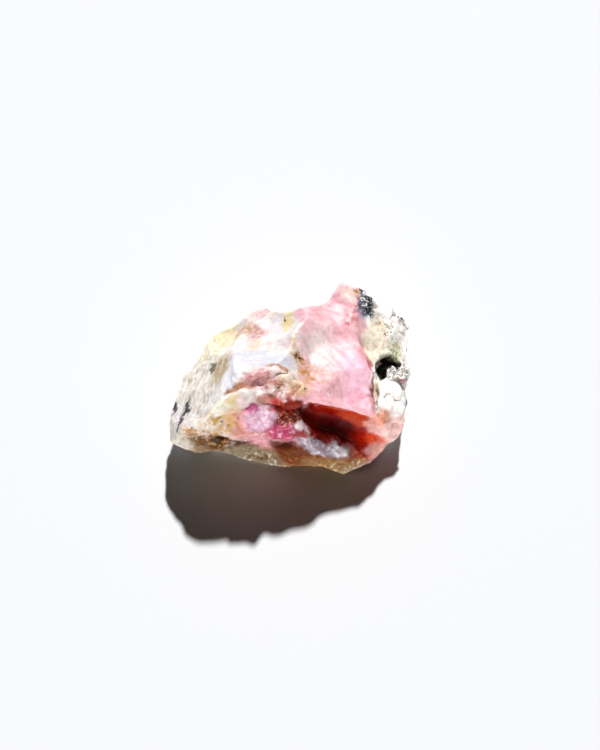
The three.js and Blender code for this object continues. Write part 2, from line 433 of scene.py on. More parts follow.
def linear(colour):
    """Six hex digits as the linear colour that a shader wants."""
    shares = [int(colour[i : i + 2], 16) / 255 for i in (0, 2, 4)]
    return (*[c / 12.92 if c <= 0.04045 else ((c + 0.055) / 1.055) ** 2.4 for c in shares], 1)


def node(tree, kind, inputs=None, **settings):
    """A new node with its settings made and its inputs set or wired."""
    made = tree.nodes.new(kind)
    for name, value in settings.items():
        setattr(made, name, value)
    for name, value in (inputs or {}).items():
        if isinstance(value, bpy.types.NodeSocket):
            tree.links.new(value, made.inputs[name])
        else:
            made.inputs[name].default_value = value
    return made


def maths(tree, operation, *values):
    """What a Math node makes of numbers or sockets."""
    return node(tree, "ShaderNodeMath", dict(enumerate(values)), operation=operation).outputs[0]


def vector_maths(tree, operation, *values):
    """What a Vector Math node makes of vectors or sockets."""
    return node(tree, "ShaderNodeVectorMath", dict(enumerate(values)), operation=operation).outputs[0]


def between(tree, value, low, high, start=0.0, end=1.0):
    """A smooth step from start, where the value is low, to end, where it is high."""
    return node(
        tree,
        "ShaderNodeMapRange",
        {"Value": value, "From Min": low, "From Max": high, "To Min": start, "To Max": end},
        interpolation_type="SMOOTHSTEP",
        clamp=False,
    ).outputs["Result"]


def group(name, inputs):
    """An empty node group that puts out a mask, the sockets it is given and the socket for its result."""
    tree = bpy.data.node_groups.new(name, "ShaderNodeTree")
    for socket, kind in inputs.items():
        tree.interface.new_socket(name=socket, in_out="INPUT", socket_type=kind)
    tree.interface.new_socket(name="Mask", in_out="OUTPUT", socket_type="NodeSocketFloat")
    return tree, tree.nodes.new("NodeGroupInput").outputs, tree.nodes.new("NodeGroupOutput").inputs["Mask"]


print("middle grey in linear light:", round(linear("808080")[0], 3))

# %% [markdown]
# ## The stain group
# The colours of an opal are impurities that soaked in from cracks, so each one is a soft-edged cloud in
# space. A picture laid on the skin would stretch and show its seams. This group gives the mask of one
# cloud instead, the same ellipsoid that shaped the skin: the place is moved to its middle, turned back
# and divided by its radii, and the length of what is left says how far out the point lies.

# %% The stain group
VECTOR = "NodeSocketVector"
FLOAT = "NodeSocketFloat"

stain_group, given, result = group(
    "stain", {"Place": VECTOR, "Middle": VECTOR, "Turn": VECTOR, "Radii": VECTOR, "Softness": FLOAT}
)
turned = node(
    stain_group,
    "ShaderNodeVectorRotate",
    {
        "Vector": vector_maths(stain_group, "SUBTRACT", given["Place"], given["Middle"]),
        "Rotation": given["Turn"],
    },
    rotation_type="EULER_XYZ",
    invert=True,
).outputs[0]
local = vector_maths(stain_group, "DIVIDE", turned, given["Radii"])
reach = node(stain_group, "ShaderNodeVectorMath", {0: local}, operation="LENGTH").outputs["Value"]
# The soft edge lies half outside the ellipsoid and half inside.
outer = maths(stain_group, "MULTIPLY_ADD", given["Softness"], 0.5, 1.0)
inner = maths(stain_group, "MULTIPLY_ADD", given["Softness"], -0.5, 1.0)
stain_group.links.new(between(stain_group, reach, outer, inner), result)
print("stain group:", len(stain_group.nodes), "nodes")

# %% [markdown]
# ## The speck group
# Few of these colours are even: they come as crumbs, needles and veins. A voronoi texture would give
# round grains of one size. A noise with several octaves, cut off at a level, gives ragged ones of many
# sizes, and the level decides which share of the skin they cover.

# %% The speck group
TOP_LEVEL = 0.75  # a noise is hardly ever higher, so cut off here it covers nothing
LEVEL_RANGE = 0.5  # from there down to a level that covers everything

speck_group, given, result = group(
    "specks", {"Place": VECTOR, "Size": FLOAT, "Share": FLOAT, "Edge": FLOAT}
)
scale = maths(speck_group, "DIVIDE", 1.0, given["Size"])
heights = node(
    speck_group,
    "ShaderNodeTexNoise",
    {"Vector": given["Place"], "Scale": scale, "Detail": 3.0, "Roughness": 0.6, "Distortion": 0.4},
).outputs["Fac"]
level = maths(speck_group, "MULTIPLY_ADD", given["Share"], -LEVEL_RANGE, TOP_LEVEL)
above = maths(speck_group, "ADD", level, given["Edge"])
speck_group.links.new(between(speck_group, heights, level, above), result)
print("speck group:", len(speck_group.nodes), "nodes")

# %% [markdown]
# ## The material and its coordinates
# All patterns read the stone's own Object coordinates, turned into millimetres, so they stay in the stone
# when it is moved. A stain drawn there would have the smooth border of an egg. A second set of
# coordinates, moved about by a noise, gives every stain the ragged border of something that soaked in.

# %% The material and its coordinates
RAGGED_SIZE = 2.2  # of the waves in a stain's border, in millimetres
RAGGED_REACH = 3.2  # how far the noise may move a border, to both sides together


def new_material(name):
    """A new material, and the inputs of its surface."""
    made = bpy.data.materials.new(name)
    made.use_nodes = True
    return made, made.node_tree.nodes["Principled BSDF"].inputs


opal, opal_surface = new_material("pink opal in host rock")
tree = opal.node_tree
place = node(
    tree,
    "ShaderNodeMapping",
    {"Vector": node(tree, "ShaderNodeTexCoord").outputs["Object"], "Scale": (1 / MM, 1 / MM, 1 / MM)},
).outputs[0]


def noise_on(places, size, detail=3.0, roughness=0.5):
    """The outputs of a noise whose waves are about as long as the size."""
    inputs = {"Vector": places, "Scale": 1 / size, "Detail": detail, "Roughness": roughness}
    return node(tree, "ShaderNodeTexNoise", inputs).outputs


centred = vector_maths(tree, "SUBTRACT", noise_on(place, RAGGED_SIZE)["Color"], (0.5, 0.5, 0.5))
ragged = vector_maths(tree, "MULTIPLY_ADD", centred, (RAGGED_REACH,) * 3, place)
print("material:", opal.name)

# %% [markdown]
# ## Words for masks and colours
# Read aloud, the finish is a sentence: take this colour, lay that stain on it, broken up by those grains.
# These functions are the words of that sentence. Each makes a few nodes and gives back the socket to go
# on from, so that a new stain costs one row in a list and no new wiring.

# %% Functions that mask and paint
WHOLE = None  # a stain that no grains break up


def mask_of(middle, radii, turn=LEVEL, soft=0.5):
    """The mask of one cloud."""
    angles = [math.radians(angle) for angle in turn]
    inputs = {"Place": ragged, "Middle": middle, "Turn": angles, "Radii": radii, "Softness": soft}
    return node(tree, "ShaderNodeGroup", inputs, node_tree=stain_group).outputs["Mask"]


def specks(size, share, edge):
    """The mask of many grains: their size, the share of the skin that they cover and how soft they are."""
    inputs = {"Place": place, "Size": size, "Share": share, "Edge": edge}
    return node(tree, "ShaderNodeGroup", inputs, node_tree=speck_group).outputs["Mask"]


def product(*masks):
    """Masks and numbers multiplied."""
    made = masks[0]
    for mask in masks[1:]:
        made = maths(tree, "MULTIPLY", made, mask)
    return made


def painted(under, mask, tint, mode="MIX"):
    """A colour with another laid on it where the mask says. A Mix node's colours are its inputs 6 and 7."""
    inputs = {0: mask, 6: under, 7: tint}
    return node(tree, "ShaderNodeMix", inputs, data_type="RGBA", blend_type=mode).outputs[2]


def stained(under, middle, radii, soft, tint, share=1, grains=WHOLE, turn=LEVEL):
    """A colour with one more stain on it."""
    mask = mask_of(middle, radii, turn, soft)
    if grains is not WHOLE:
        mask = product(mask, specks(*grains))
    if share < 1:
        mask = product(mask, share)
    return painted(under, mask, linear(tint))


def stained_with(under, stains):
    """A colour with a list of stains on it, one after the other."""
    for _, *stain in stains:
        under = stained(under, *stain)
    print(f"{len(stains)} stains, the last one is {stains[-1][0]!r}")
    return under


# %% [markdown]
# ## The pink opal
# Fine threads of clay in the silica make the stone pink, paler and deeper by turns. That is the ground
# colour of the whole stone, with two broad clouds on it. A stain's row gives its name, its middle and
# radii, how soft its edge is and its colour. A share of the colour, the grains that break it up and a
# turn follow where they are needed.

# %% Stain the pink opal
colour = stained_with(
    linear("E2AEB6"),
    [
        ("pale clouds in the pink", (8, 3, 15), (12, 16, 12), 0.5, "EBCBCC", 0.8, (3.2, 0.5, 0.2)),
        ("rose clouds in the pink", (10, 0, 15), (12, 16, 12), 0.5, "DB98A4", 0.6, (1.6, 0.42, 0.2)),
    ],
)

# %% [markdown]
# ## The white opal
# The left half is white to cream opal, with a lavender plateau, a bluish white band along the ridge and a
# grey fibrous side. One border separates it from the pink, so one large stain with a hard edge comes
# first, and the parts of the white half are laid on that.

# %% Stain the white opal
WHITE_OPAL = [
    ("white opal on the left", (-12.5, 0, 13), (14.5, 26, 26), 0.12, "E0D7D3"),
    ("lavender plateau", (-4, 5, 14), (6.5, 8, 8), 0.5, "E2D7D9"),
    ("cream clouds", (-8, 4, 14), (10, 12, 10), 0.5, "DCCDB8", 0.7, (2.6, 0.42, 0.2)),
    ("white band by the edge", (-3.4, -2.2, 21), (5, 2.6, 3), 0.5, "CCCBD4"),
    ("white band", (-8.7, -1.5, 18.5), (5, 3, 5), 0.5, "CCCBD4"),
    ("white band turns", (-12.2, -5, 19.5), (2.6, 4, 4), 0.5, "E2DFE6"),
    ("white band runs down", (-16, -11, 18), (4, 3.5, 5), 0.5, "E6E2DE"),
    ("left face", (-20, -1.5, 10), (6, 12, 7), 0.4, "DCD5CB"),
    ("lilac by the tip", (-21.8, -10.5, 11.0), (3, 5, 3), 0.6, "CFC6C8", 1, WHOLE, (0, 0, 20)),
    ("tip", (-23.6, -14.6, 10.5), (3, 2, 4), 0.6, "CFCBC6"),
    ("ochre knob", (-14.6, 9.5, 7.5), (3.6, 3.5, 4.5), 0.9, "EADCB6", 0.9),
    ("ochre edge", (-17, 6, 8), (3, 3.5, 3), 0.8, "E4DABA", 0.9),
    ("tan ring", (-14.4, -1.8, 15.0), (2.4, 4.4, 3.5), 0.8, "AE9468", 0.9),
    ("green eye", (-16.2, -0.1, 12.2), (0.7, 1.3, 1.5), 0.9, "3C482E", 0.95, (0.6, 0.85, 0.15)),
    ("orange patch", (-9.4, 9.8, 9.6), (2.4, 1.8, 2.6), 1.1, "C68A5C", 0.9, (1.2, 0.9, 0.3)),
    ("rosy patch", (-7.2, 7.8, 11.8), (1.7, 1.9, 2.2), 1.1, "CC7E74", 0.85, (0.9, 0.9, 0.25)),
    ("yellow patch", (-7.9, 4.2, 15.2), (1.8, 2.6, 3), 1.0, "D8B26C", 0.85, (0.9, 0.8, 0.25)),
]
colour = stained_with(colour, WHITE_OPAL)

# %% [markdown]
# ## The vein between white and pink
# A rusty vein follows the border of the two opals. It could be one long mask along a path, but it changes
# from pale yellow at its far end to brown at its knot, so it is a chain of short stains. All but the
# first have grains of their own.

# %% Stain the vein
VEIN = [
    ("vein, far end", (-0.9, 9.6, 13.6), (1.2, 2.8, 3), 1.0, "E2CC92", 0.9),
    ("vein, middle", (0.2, 3.6, 17.8), (1.3, 4, 3), 1.0, "CFA877", 0.9, (1.2, 0.7, 0.3)),
    ("vein, knot", (1.2, -0.5, 17.6), (1.4, 1.4, 2), 1.0, "A0682E", 1, (0.7, 0.85, 0.2)),
    ("vein, near end", (2.9, -3.0, 16.9), (1.8, 3.4, 3), 1.0, "BE8648", 1, (1.2, 0.85, 0.3)),
    ("vein, foot", (2.2, -7.4, 18.8), (2.2, 2.2, 2), 1.0, "C09668", 0.9, (0.9, 0.8, 0.3)),
]
colour = stained_with(colour, VEIN)

# %% [markdown]
# ## The pink face
# The large clean scar on the right is not one pink. It is milky in its dish, magenta towards its corner,
# red up to the peak and tan at its foot. Each is a stain with a very soft edge, because the colour lies
# deep in the clear stone and is seen through it.

# %% Stain the pink face
PINK_FACE_STAINS = [
    ("pale dish in the pink", (5.6, 2.5, 15.5), (3.4, 4.6, 3), 1.2, "E3CFCF"),
    ("rosy edge by the saddle", (6.8, 12, 14.5), (5, 1.6, 2), 1.2, "DB9596", 0.8,
     (1.2, 0.7, 0.3), (0, 0, 40)),
    ("red column by the peak", (12.4, 11.5, 14), (1.5, 4.8, 3), 1.2, "CC7472", 0.9, (1.1, 0.75, 0.3)),
    ("rose on the right edge", (14.8, 3.6, 13.6), (1.0, 4.4, 3), 1.0, "D38A8A", 0.9),
    ("magenta corner", (12.9, -2.6, 14.2), (3.3, 4.4, 3), 1.1, "EDBECF", 0.9),
    ("magenta lip", (13.6, -7.6, 14), (3.6, 2.0, 3), 1.0, "DC9CB0", 0.9),
    ("rose foot of the pink", (9.8, -6.4, 15), (3.0, 2.0, 2.5), 1.0, "DDB0B6", 0.8, (1.1, 0.7, 0.3)),
    ("tan foot of the pink", (6.4, -4.6, 16.4), (3, 2.6, 2.5), 1.1, "C6967A", 0.85, (1.0, 0.75, 0.3)),
    ("peak", (11.8, 16.2, 13.6), (2, 1.6, 2), 1.0, "EACFC6", 0.8),
]
colour = stained_with(colour, PINK_FACE_STAINS)

# %% [markdown]
# ## The crumbly step
# A ledge of crushed opal runs along under the white ridge, rosy on its left and tan on its right, with
# white crumbs all over it. The crumbs are small and hard-edged, so they have their own row of grains
# instead of a lighter ground. The red-brown recess under the ridge and the brown line by the small ledge
# are painted shade, where the ridge's scarp shades the step.

# %% Stain the step
STEP = [
    ("step, pink", (-6.6, -6.8, 21), (3.8, 1.9, 2.4), 0.8, "CC9496", 0.95),
    ("step, rose", (-6.2, -7.2, 21), (3.6, 1.8, 2.4), 0.8, "A4545A", 0.85, (0.9, 0.46, 0.12)),
    ("step, white", (-1.0, -6.0, 20.5), (2.4, 1.3, 2), 0.8, "D2BEAC", 0.9),
    ("step, tan", (1.0, -8.2, 19.4), (2.4, 1.6, 1.6), 0.8, "CBAC88", 0.9),
    ("step, brown", (-2.6, -7.2, 20.3), (2.0, 1.2, 1.6), 0.8, "B87C54", 0.9, (0.8, 0.75, 0.2)),
    ("white crumbs of the step", (-4, -7, 20.6), (8, 2.6, 2.6), 0.7, "E9DACF", 0.7, (0.6, 0.26, 0.06)),
    ("rosy foot of the step", (-2.6, -9.2, 19.2), (5.2, 1.3, 1.4), 0.9, "BC7468", 0.85, (1.0, 0.75, 0.25)),
    # painted shade in the recess under the ridge's scarp, and a painted shadow by the small ledge
    ("painted shade in the red-brown recess", (-11, -8.7, 20.8), (3.2, 0.7, 1.2), 0.8, "B4764E", 0.9, WHOLE, (0, 0, 12)),
    ("painted shadow of the brown ledge", (-2.2, -4.3, 21.3), (3.4, 0.6, 1), 0.8, "AC7A52", 0.9),
]
colour = stained_with(colour, STEP)

# %% [markdown]
# ## The front slope and the brown foot
# The front was the wall of the seam that the opal grew in, so iron has stained it: ochre on the slope and a
# dark brown band with two pits under it. Below lies a drab foot with pale chips, and the brown clouds on
# the foot are a painted shadow, in the brown of the table's shadow that the foot meets. In each part the
# broad stain comes first, and the veins, pits and chips are laid on it.

# %% Stain the front
FRONT = [
    ("pink of the front", (-5, -14.5, 14.5), (8.2, 4, 6.5), 0.5, "DE9E98"),
    ("brown ground of the rim", (3, -18.2, 4.4), (17, 4.2, 5.0), 0.4, "93633E"),
    ("ochre slope", (-13.6, -13.6, 15.4), (4.6, 2.4, 3.2), 0.9, "BE9848", 0.95,
     (1.6, 0.85, 0.3), (0, 10, 0)),
    ("orange slope", (-11.8, -12.9, 17.4), (1.8, 1.8, 2.6), 0.9, "D4A274", 0.8),
    ("pale slope", (-13.8, -12.0, 19.6), (2.4, 1.5, 1.8), 0.9, "E4DCC8", 0.9),
    ("yellow rim of the slope", (-11.2, -11.1, 20.3), (1.8, 1.1, 1.3), 0.9, "DCC694", 0.9),
    ("tan under the tip", (-19, -15, 8.0), (5.6, 3.2, 2.6), 0.8, "8E6C42", 0.9, WHOLE, (0, 8, 0)),
    ("pale skin under the tip", (-23.2, -15.4, 7.8), (3.0, 2.4, 2.8), 0.8, "CFC8BC", 0.9),
    ("ochre foot of the slope", (-17.8, -15, 11.4), (5.6, 2.8, 2.4), 0.8, "B9853C", 0.95,
     (1.2, 0.9, 0.3), (0, 16, 0)),
    ("brown band", (-14, -15.2, 8.8), (7, 3.2, 2.3), 0.6, "5C3716", 1, (1.8, 1.0, 0.3), (0, 16, 0)),
    ("ochre veins in the band", (-14.5, -15.2, 9.6), (6.5, 3.2, 2.2), 0.6, "A87A3C", 0.8,
     (1.0, 0.38, 0.1), (0, 16, 0)),
    ("rosy brown foot", (-5.8, -15.4, 5.8), (3.2, 1.8, 1.8), 0.8, "A8604C", 0.9, WHOLE, (0, 20, 0)),
    ("dark pit, left", (-14.8, -15.0, 10.1), (1.1, 1.6, 0.9), 0.8, "3A2412", 0.9, (0.8, 0.85, 0.15)),
    ("dark pit, right", (-9.6, -14.8, 7.8), (1.8, 1.6, 1.3), 0.8, "200A06", 1,
     (0.8, 0.95, 0.15), (0, 8, 0)),
    ("drab foot", (-12, -15.5, 3.6), (13, 4, 3.0), 0.6, "8E7E66", 0.95),
    # painted shadow: brown clouds in the brown of the table's shadow that the foot meets
    ("painted shadow on the foot", (-12, -15.5, 4.6), (12, 4, 3.0), 0.6, "69482A", 0.85, (1.2, 0.52, 0.15)),
    ("pale chips on the foot", (-10, -16.5, 2.4), (14, 4, 2.4), 0.6, "D2CABB", 0.85, (1.0, 0.44, 0.08)),
]
colour = stained_with(colour, FRONT)

# %% [markdown]
# ## The two pink lumps
# In the middle of the front two lumps of the richest colour stand out: a lavender one with magenta veins,
# and a magenta one with pink veins. Much the same grains with their colours exchanged make them look like
# what they are, two breaks through one mottled piece.

# %% Stain the lumps
LUMPS = [
    ("rosy flank", (-9.6, -13.9, 17.3), (1.9, 1.8, 2.6), 0.9, "E0A0A0", 0.9),
    ("pink foot of the lumps", (-5.8, -14.8, 9.2), (3.8, 2.2, 2.8), 0.8, "DFA0A8", 0.95),
    ("crumbs on the pink foot", (-5.8, -14.8, 9.4), (3.8, 2.2, 2.6), 0.8, "F0DADA", 0.8, (0.8, 0.42, 0.1)),
    ("lavender lump", (-6.0, -13.6, 16.6), (3.7, 3.2, 3.7), 0.5, "D0A4B8"),
    ("white veil on the lump", (-5.6, -13.2, 17.2), (2.8, 2.6, 3), 1.0, "E6D4DE", 0.85, (1.1, 0.56, 0.15)),
    ("magenta veins in the lump", (-6.0, -13.6, 16.6), (4, 3.4, 4), 0.6, "BA5080", 0.6, (0.9, 0.34, 0.06)),
    ("magenta facet", (-8.1, -11.9, 18.6), (1.4, 1.0, 1.4), 0.8, "B4507A", 0.95),
    ("rosy top", (-5.2, -10.5, 19.4), (1.9, 1.2, 1.4), 0.8, "C4887C", 0.9),
    ("pale facet", (-9.7, -11.3, 19.8), (1.6, 1.1, 1.2), 0.8, "E8CFCF", 0.9),
    ("magenta lump", (-0.4, -15.0, 13.4), (5.2, 2.7, 3.3), 0.5, "B6456A", 1, WHOLE, (0, 16, 0)),
    ("pink veins in the lump", (-1.0, -15.2, 13.4), (4.2, 2.6, 2.9), 0.6, "E3AFC0", 0.75,
     (0.9, 0.4, 0.08), (0, 14, 0)),
    ("dark seam of the lump", (1.7, -14.6, 12.2), (1.8, 1.2, 1.4), 0.9, "8C3434", 0.9, WHOLE, (0, 20, 0)),
]
colour = stained_with(colour, LUMPS)

# %% [markdown]
# ## The rim and the crystal ledge
# Under the hollow a band of tiny clear crystals falls to the right, grey with white and dark grains, and
# the brown rim of the seam runs below it. The crystals' facets are already in the mesh, so the finish
# only has to tell light grains from dark ones.

# %% Stain the rim and the ledge
CRYSTALS = ((6.2, -15.5, 8.6), (6.6, 2.6, 2.3))
RIM_AND_LEDGE = [
    ("red-brown seam", (-1.8, -16.4, 8.2), (5.0, 2.0, 2.0), 0.8, "5E2410", 0.95, WHOLE, (0, 20, 0)),
    ("rim, brown", (2.4, -17.6, 5.8), (6.4, 2.4, 2.6), 0.8, "6C3818", 0.95, WHOLE, (0, 15, 0)),
    ("rim, tan", (8.6, -18.0, 3.4), (7, 2.4, 2.4), 0.8, "98754A", 0.95, WHOLE, (0, 12, 0)),
    ("rim, orange", (3, -17.8, 5), (7, 2, 2.6), 0.8, "AC5C2C", 0.8, (1.0, 0.42, 0.1), (0, 12, 0)),
    ("rim, pale chips", (8, -18, 2.0), (12, 3, 2.2), 0.6, "D6C8AE", 0.85, (0.7, 0.42, 0.08)),
    ("crystal ledge", *CRYSTALS, 0.5, "A0929C", 1, WHOLE, SLANT),
    ("white crystals", *CRYSTALS, 0.5, "D9D2DA", 0.9, (0.8, 0.42, 0.08), SLANT),
    ("dark crystals", *CRYSTALS, 0.5, "6B4A50", 0.8, (0.6, 0.34, 0.08), SLANT),
    ("snow on the ledge", (2.6, -15.4, 10.6), (1.4, 1.1, 0.9), 0.8, "DAD4DC", 0.8),
    ("second snow on the ledge", (9.9, -16, 6.8), (1.6, 1.2, 1.1), 0.8, "F0ECF2", 0.95),
    ("brown foot of the ledge", (12.8, -16.6, 4.2), (2.6, 1.6, 1.2), 0.8, "945638", 0.9, WHOLE, (0, 20, 0)),
]
colour = stained_with(colour, RIM_AND_LEDGE)

# %% [markdown]
# ## The hollow
# The deep hollow is lined with clear red opal. Its heart is painted nearly black, which is painted shade on
# the deep red, and its lips, far wall and right end are painted red to orange, a painted glow of the light
# that comes through the thin walls. Real depth in the colour would need a volume, which renders slowly and
# can't be exported. Stains that go from painted shade at the heart to a painted glow at the lips give the
# same look.

# %% Stain the hollow
HOLLOW = [
    ("hollow", (7.2, -11.2, 9.0), (12.5, 3.6, 5.6), 0.25, "860D06", 1, WHOLE, SLANT),
    # painted shade in the heart, and a painted glow on the lips, the far wall and the right end
    ("painted shade in the heart of the hollow", (9.4, -11.4, 6.6), (6.5, 3, 1.7), 0.9, "3E0302", 0.9, WHOLE, (0, 30, 0)),
    ("painted red glow on the lip of the hollow", (11.2, -9.4, 11.3), (6.8, 2.0, 1.8), 0.8, "BC3418", 0.9, WHOLE, (0, 22, 0)),
    ("painted pale glow on the lip of the hollow", (12.6, -9.6, 11.8), (6, 1.4, 1.2), 0.8, "CC6244", 0.8, WHOLE, (0, 24, 0)),
    ("painted orange glow on the far wall of the hollow", (12.6, -10.2, 8.4), (4.4, 1.6, 1.4), 0.9, "BC4428", 0.85,
     WHOLE, (0, 24, 0)),
    ("painted red glow at the end of the hollow", (15.2, -13.4, 3.8), (3.8, 3.4, 2.4), 0.9, "A21603", 1, WHOLE, (0, 10, 0)),
    ("rubble at the left end", (-0.8, -11.4, 15.4), (3.4, 2.5, 3.4), 0.8, "7E2A1C", 1, WHOLE, (0, 25, 0)),
    ("pale crumbs of the rubble", (-0.4, -11.6, 14.8), (4.2, 3, 3.2), 0.7, "D9AE90", 0.95,
     (0.5, 0.42, 0.05), (0, 25, 0)),
    ("crumbs in the hollow", (2.6, -10.0, 12.4), (5, 3, 3.4), 0.8, "A46A58", 0.8, (0.4, 0.24, 0.05), SLANT),
    ("green crumbs in the hollow", (1.2, -11.2, 14.0), (2.4, 3, 2.4), 0.8, "38301A", 0.9, (0.6, 0.5, 0.08)),
    ("red left end of the hollow", (-1.6, -10.9, 17.6), (3.4, 1.7, 1.8), 0.8, "AC3222", 1,
     WHOLE, (0, 25, 0)),
    ("red edge over the rubble", (0.0, -11.6, 18.4), (3.8, 1.2, 1.7), 0.6, "7A2414"),
    ("bright rib", (2.0, -13.7, 13.4), (2.2, 1.0, 0.8), 0.7, "E6DADC", 0.95, (0.8, 0.85, 0.15), (0, 43, 0)),
    ("red seam under the rib", (1.2, -15.0, 12.6), (1.6, 1.2, 0.7), 0.8, "922A28", 0.95, WHOLE, (0, 43, 0)),
]
colour = stained_with(colour, HOLLOW)

# %% [markdown]
# ## The host rock
# The right-hand end is the rock that the opal grew in: chalky white, with a pit painted nearly black, partly
# for its black mineral and partly as painted shade, an olive band and bunches of dark mineral needles.
# Needles and olive specks are the smallest grains on the stone, and they are sharp, so their rows have
# small sizes and hard edges.

# %% Stain the host rock
ROCK_EDGE = 0.06  # how soft the border of the rock is
CREAM_FACET = ((17.2, 6.5, 10.5), (2.8, 5.8, 4))
HOST_ROCK_STAINS = [
    ("host rock", *HOST_ROCK, ROCK_EDGE, "F3EFEA"),
    ("host rock by the peak", (20, 15.5, 12), (6.1, 9, 8), 0.12, "F3EFEA"),
    ("pink beside the hollow", (16.9, -11.0, 7.4), (2.2, 1.6, 3.0), 0.8, "E2AAA2", 0.95),
    # a painted glow of the light that comes through the thin wall at the hollow's right end
    ("painted red glow in the wedge of the hollow", (17.7, -13.0, 3.6), (2.5, 2.2, 1.5), 0.9, "DE4A20", 0.95,
     WHOLE, (0, 12, 0)),
    ("cream facet", *CREAM_FACET, 0.5, "EDE2CE", 1, WHOLE, (0, 0, -8)),
    ("tan clouds on the facet", *CREAM_FACET, 0.5, "DFCBA4", 0.7, (0.9, 0.42, 0.2), (0, 0, -8)),
    ("olive band", (19.9, 9.6, 8.8), (1.6, 4.6, 4), 0.9, "7C8262", 0.9, (0.5, 0.42, 0.08), (0, 0, 29)),
    ("black in the olive band", (19.8, 9.6, 8.8), (1.3, 4.6, 4), 0.9, "30342A", 0.9,
     (0.4, 0.3, 0.05), (0, 0, 29)),
    ("needles by the peak", (15.6, 14.0, 13.2), (2.4, 2.5, 4), 0.8, "181C2A", 1,
     (0.5, 0.72, 0.04), (0, 0, 30)),
    ("needles at the peak's tip", (14.7, 17.6, 12.6), (0.8, 1.2, 3), 0.9, "3C4256", 1,
     (0.5, 0.62, 0.05), (0, 0, 20)),
    ("blue haze under the needles", (14.4, 12.8, 13), (1.0, 2.2, 3), 1.0, "7E86A6", 0.8, (0.5, 0.6, 0.15)),
    ("needles, far corner", (22.2, 13.8, 6.8), (3.2, 1.1, 4), 0.8, "2A2F40", 1,
     (0.42, 0.56, 0.04), (0, 0, -42)),
    ("needles low on the right", (24.6, 10.5, 5), (0.9, 3.2, 4), 0.9, "5A5E66", 0.8, (0.5, 0.34, 0.05)),
    ("speckled rock", (22.4, 0.6, 7.9), (3, 2.2, 3), 0.7, "3A3A2C", 0.9, (0.35, 0.46, 0.05)),
    ("red line", (22, -0.9, 7.9), (2.4, 0.5, 1), 0.8, "A8606A", 0.8, (0.6, 0.7, 0.1)),
    ("white lumps", (20.6, -5.8, 9.6), (3.6, 3.6, 3.6), 0.4, "EFEBE7"),
    # the pit's near black is partly its black mineral and partly painted shade of the deep pit
    ("pit", (19.9, 2.4, 6.6), (2.2, 2.8, 4), 0.14, "120B08", 1, WHOLE, (0, 0, -30)),
    ("green crumbs of the pit", (18.2, -0.8, 7.8), (1.4, 2.4, 3), 0.8, "6C6E48", 0.9,
     (0.6, 0.55, 0.1), (0, 0, -10)),
    ("cream lip of the pit", (17.3, -3.4, 11.2), (0.9, 3.0, 2.0), 0.9, "F4ECDA", 1, WHOLE, (0, 0, -6)),
    ("orange lobe", (18.6, -10.7, 10.3), (2.9, 1.9, 3.0), 0.8, "E0A088"),
    ("red in the orange lobe", (18.4, -10.9, 10.2), (1.1, 1.2, 2), 1.0, "CC6244", 0.9, (0.8, 0.6, 0.2)),
    ("pink lobe", (21.4, -11.4, 5.8), (3.4, 3.0, 4.4), 0.7, "E6BDB6"),
    ("pink rim", (18.6, -14.4, 2.6), (3.8, 1.6, 1.5), 0.7, "E3A9A0"),
    ("chalk clouds", (27, 6, 4), (13, 36, 12), 0.3, "DED2C6", 0.6, (2.4, 0.42, 0.2)),
    ("red spot by the pit", (15.9, 0.4, 12.8), (0.8, 1.8, 1.6), 1.0, "B8484A", 0.85),
    ("rosy groove", (16.3, -6.6, 13.1), (0.7, 3.6, 1.8), 1.0, "B0706A", 0.85, WHOLE, (0, 0, -4)),
    ("olive foot of the band", (21.5, 6.0, 7.8), (1.5, 2.2, 3), 1.0, "B4B48C", 0.85),
    ("specks, foot of the band", (21.5, 6.0, 7.8), (1.7, 2.4, 3), 1.0, "3C402C", 0.9, (0.35, 0.4, 0.05)),
]
colour = stained_with(colour, HOST_ROCK_STAINS)

# %% [markdown]
# ## The back and the underside
# A lump that was dug out has a thin weathered rind where it wasn't broken open, cream with tan stains.
# Nobody has drawn this side, so it is kept quiet: the colours of the front carry on, tongues of them
# reach across the straight borders, and the rind lies over all of it.

# %% Stain the back
BACK = [
    ("rind at the back", (0, 20, 2), (42, 8.5, 7), 0.5, "DDCBB2", 0.9, (3.6, 0.5, 0.2)),
    ("white tongue at the back", (4.5, 17.5, 3), (6.5, 6, 5.5), 0.7, "E2D8D4", 0.95, (3.2, 0.62, 0.15)),
    ("pink tongue at the back", (-4.5, 15.5, 6), (5, 5, 6), 0.8, "DDAEB4", 0.9, (3.4, 0.55, 0.15)),
    ("rock tongue at the back", (13.5, 17.5, 2.5), (5, 5, 4.5), 0.5, "EFE9E2", 1, (2.8, 0.66, 0.08)),
    ("tan stains at the back", (-2, 20, 2), (36, 8.5, 6.5), 0.5, "B48F68", 0.8, (1.8, 0.38, 0.15)),
    ("rose patches at the back", (-12, 18, 4), (10, 8, 7), 0.6, "D59A9A", 0.8, (2.6, 0.4, 0.2)),
    ("rind of the underside", (0, 0, -1.5), (42, 30, 3.4), 0.6, "C9B698", 0.9, (2.2, 0.62, 0.2)),
]
colour = stained_with(colour, BACK)

# %% [markdown]
# ## Fibres in the colour
# The fibrous skin of the left side is streaked, not only grooved. A wave texture would give even stripes.
# The same noise as before, squeezed across the fibres and drawn out along them, gives pale threads where
# it is high and olive ones where it is low.

# %% Streak the left side
FIBROUS_SIDE = ((-19.5, -3, 11), (7, 12, 8))
FIBRE_TURN = (0.3, 0, math.radians(-26))  # radians
FIBRE_SCALE = (1 / 0.5, 1 / 7, 1 / 0.8)  # a thread is 0.5 mm wide, 7 mm long and 0.8 mm deep
PALE_SHARE = 0.7
OLIVE_SHARE = 0.45

